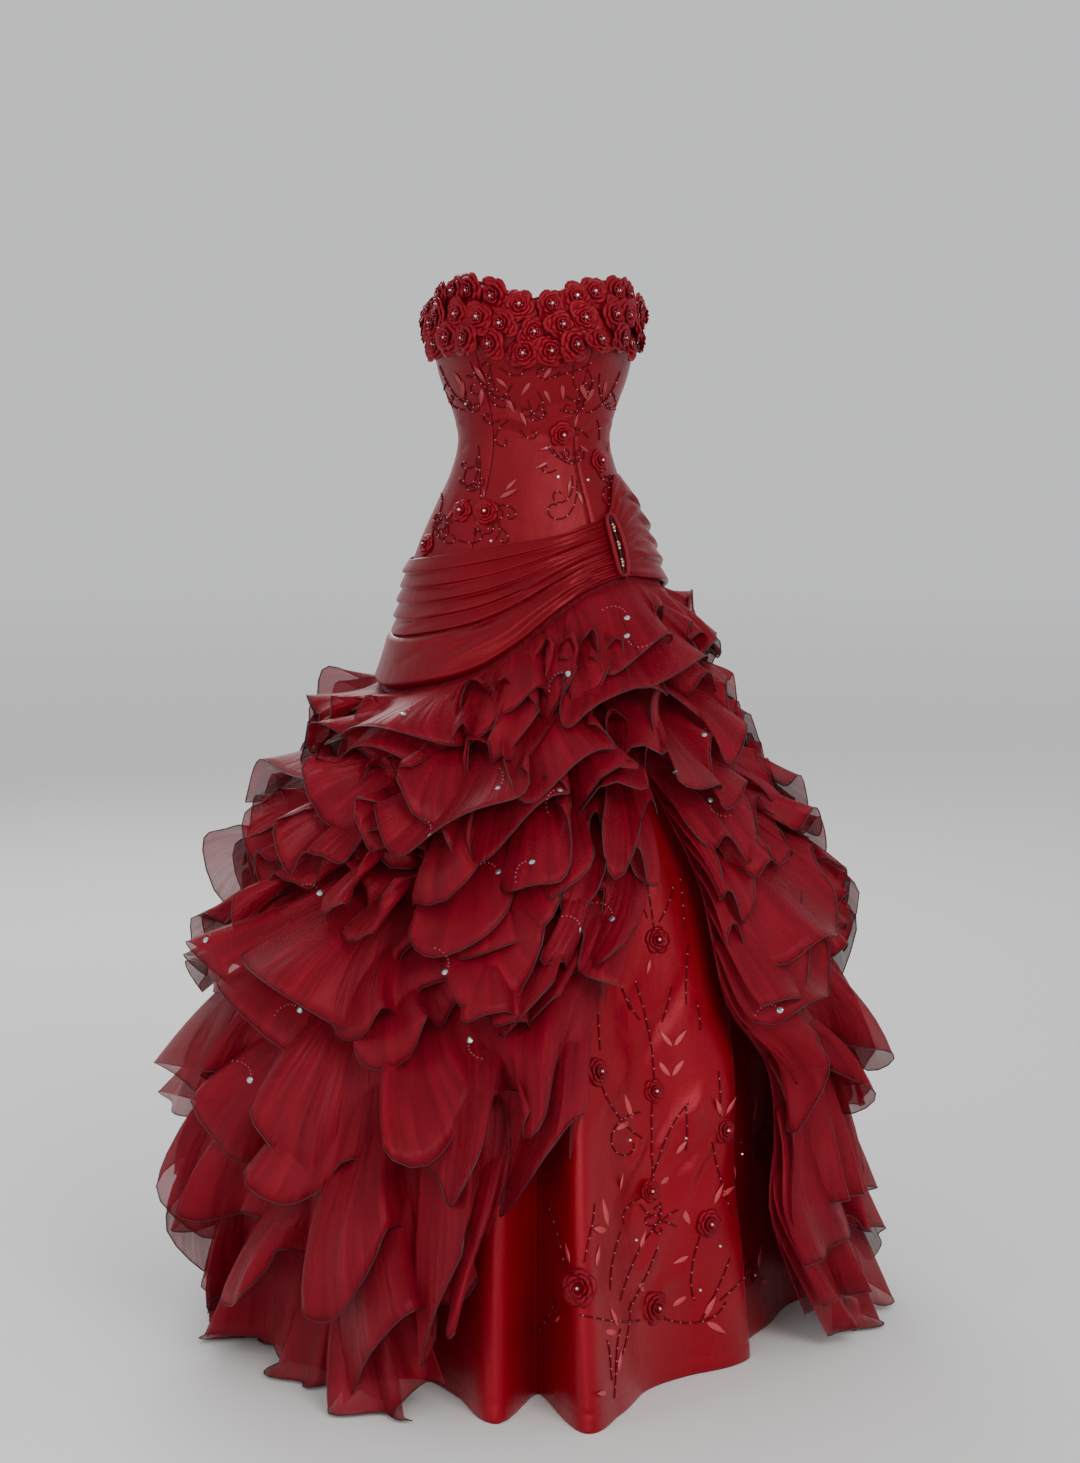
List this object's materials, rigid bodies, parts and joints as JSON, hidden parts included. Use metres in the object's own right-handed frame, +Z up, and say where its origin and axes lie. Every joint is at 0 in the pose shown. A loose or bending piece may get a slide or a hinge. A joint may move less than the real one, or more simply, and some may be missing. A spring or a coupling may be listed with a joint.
{
  "type": "ball gown",
  "caption": "Strapless ball gown with a rose-trimmed satin bodice, a pleated hip sash with a jewelled ring and tiered organza ruffles that part over a satin underskirt.",
  "frame": {"origin": "centre of the waist, where the gown is held when worn", "axes": "+Z up the body, -Y towards the gown's front, +X towards the wearer's left"},
  "size_m": [1.0265, 1.0985, 1.4561],
  "materials": {
    "satin": "heavy satin with a soft sheen",
    "organza": "crisp sheer organza",
    "rose_cloth": "rolled satin and organza roses",
    "jewel": "cut glass beads on a brass bar"
  },
  "bodies": {
    "root": {"bodice_centre_front": "satin", "bodice_side_front_left": "satin", "bodice_side_front_right": "satin", "bodice_side_back_left": "satin", "bodice_side_back_right": "satin", "bodice_back_left": "satin", "bodice_back_right": "satin", "sash_front_pleats": "satin", "sash_front_swag": "satin", "sash_side_fan": "satin", "sash_back": "satin", "sash_ring": "satin", "underskirt_front": "satin", "underskirt_left_side": "satin", "underskirt_left_back": "satin", "underskirt_right_back": "satin", "underskirt_right_side": "satin", "underskirt_right_front": "satin", "roses_front_left": "rose_cloth", "roses_front_right": "rose_cloth", "roses_side_left": "rose_cloth", "roses_side_right": "rose_cloth", "jewel_bar": "jewel", "overskirt_left_front": "organza", "overskirt_left_back": "organza", "overskirt_back": "organza", "overskirt_right_back": "organza", "overskirt_right_front": "organza", "ruffle_1_left": "organza", "ruffle_1_back": "organza", "ruffle_1_right": "organza", "ruffle_2_left": "organza", "ruffle_2_back": "organza", "ruffle_2_right": "organza", "ruffle_3_left": "organza", "ruffle_3_back": "organza", "ruffle_3_right": "organza", "ruffle_4_left": "organza", "ruffle_4_back": "organza", "ruffle_4_right": "organza", "ruffle_5_left": "organza", "ruffle_5_back": "organza", "ruffle_5_right": "organza", "ruffle_6_left": "organza", "ruffle_6_back": "organza", "ruffle_6_right": "organza", "ruffle_7_left": "organza", "ruffle_7_back": "organza", "ruffle_7_right": "organza"}
  },
  "joints": []
}
